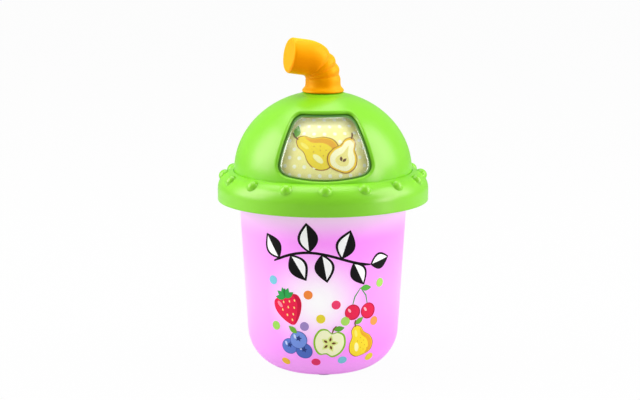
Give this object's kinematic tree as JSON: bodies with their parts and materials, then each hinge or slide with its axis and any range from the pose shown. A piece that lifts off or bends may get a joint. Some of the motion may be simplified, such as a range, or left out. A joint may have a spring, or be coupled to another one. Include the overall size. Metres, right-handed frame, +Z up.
{
  "type": "toy blender",
  "caption": "Light-up toy smoothie cup with a domed lid, riveted brim, picture window and a bent straw that turns a drum of pictures.",
  "frame": {"origin": "middle of the flat that the cup stands on", "axes": "+Z up along the cup's axis and the straw's crank axis, -Y towards the front with the window, +X to the right seen from the front"},
  "size_m": [0.105, 0.105, 0.1667],
  "materials": {
    "cup_plastic": "satin moulded translucent polypropylene, lit from inside",
    "door_plastic": "satin moulded polypropylene",
    "green_abs": "moulded ABS, satin gloss",
    "orange_abs": "moulded ABS, soft gloss",
    "clear_lens": "clear polished polystyrene",
    "printed_label": "printed paper label under clear film",
    "white_abs": "moulded ABS",
    "white_acetal": "moulded acetal",
    "black_nylon": "moulded nylon",
    "knob_plastic": "moulded ABS",
    "screw_steel": "zinc-plated steel",
    "nickel_plate": "nickel-plated steel",
    "cell_jacket": "plain shrink jacket",
    "board_laminate": "solder-masked laminate",
    "lamp_epoxy": "clear moulded epoxy lamp",
    "speaker_steel": "pressed steel frame"
  },
  "bodies": {
    "cup_body": {"cup_shell": "cup_plastic", "battery_door": "door_plastic", "door_screw": "screw_steel", "battery_box": "white_abs", "box_screws": "screw_steel", "front_cell": "cell_jacket", "back_cell": "cell_jacket", "contact_plates": "nickel_plate", "cell_springs": "nickel_plate", "lamp_board": "board_laminate", "lamps": "lamp_epoxy", "slide_switch": "nickel_plate", "switch_board": "board_laminate", "lid_base": "green_abs", "lid_screws": "screw_steel", "rim_screws": "screw_steel", "lid_rim": "green_abs", "dome": "green_abs", "window_lens": "clear_lens", "selector_board": "board_laminate", "detent_spring": "white_acetal", "main_board": "board_laminate", "sound_chip": "black_nylon", "board_screws": "screw_steel", "speaker": "speaker_steel"},
    "spinner": {"straw": "orange_abs", "spindle": "white_acetal", "drum": "white_abs", "picture_labels": "printed_label", "thrust_washer": "white_acetal", "clamp_washer": "screw_steel", "spindle_screw": "screw_steel", "contact_wiper": "nickel_plate"},
    "power_slider": {"power_knob": "knob_plastic", "switch_lever": "black_nylon"}
  },
  "joints": [
    {"name": "straw_turn", "type": "hinge", "parent": "cup_body", "child": "spinner", "pos_m": [0, 0, 0.14], "axis": [0, 0, 1], "continuous": true},
    {"name": "power_slide", "type": "slide", "parent": "cup_body", "child": "power_slider", "axis": [1, 0, 0], "range_m": [-0.0025, 0.0025]}
  ]
}
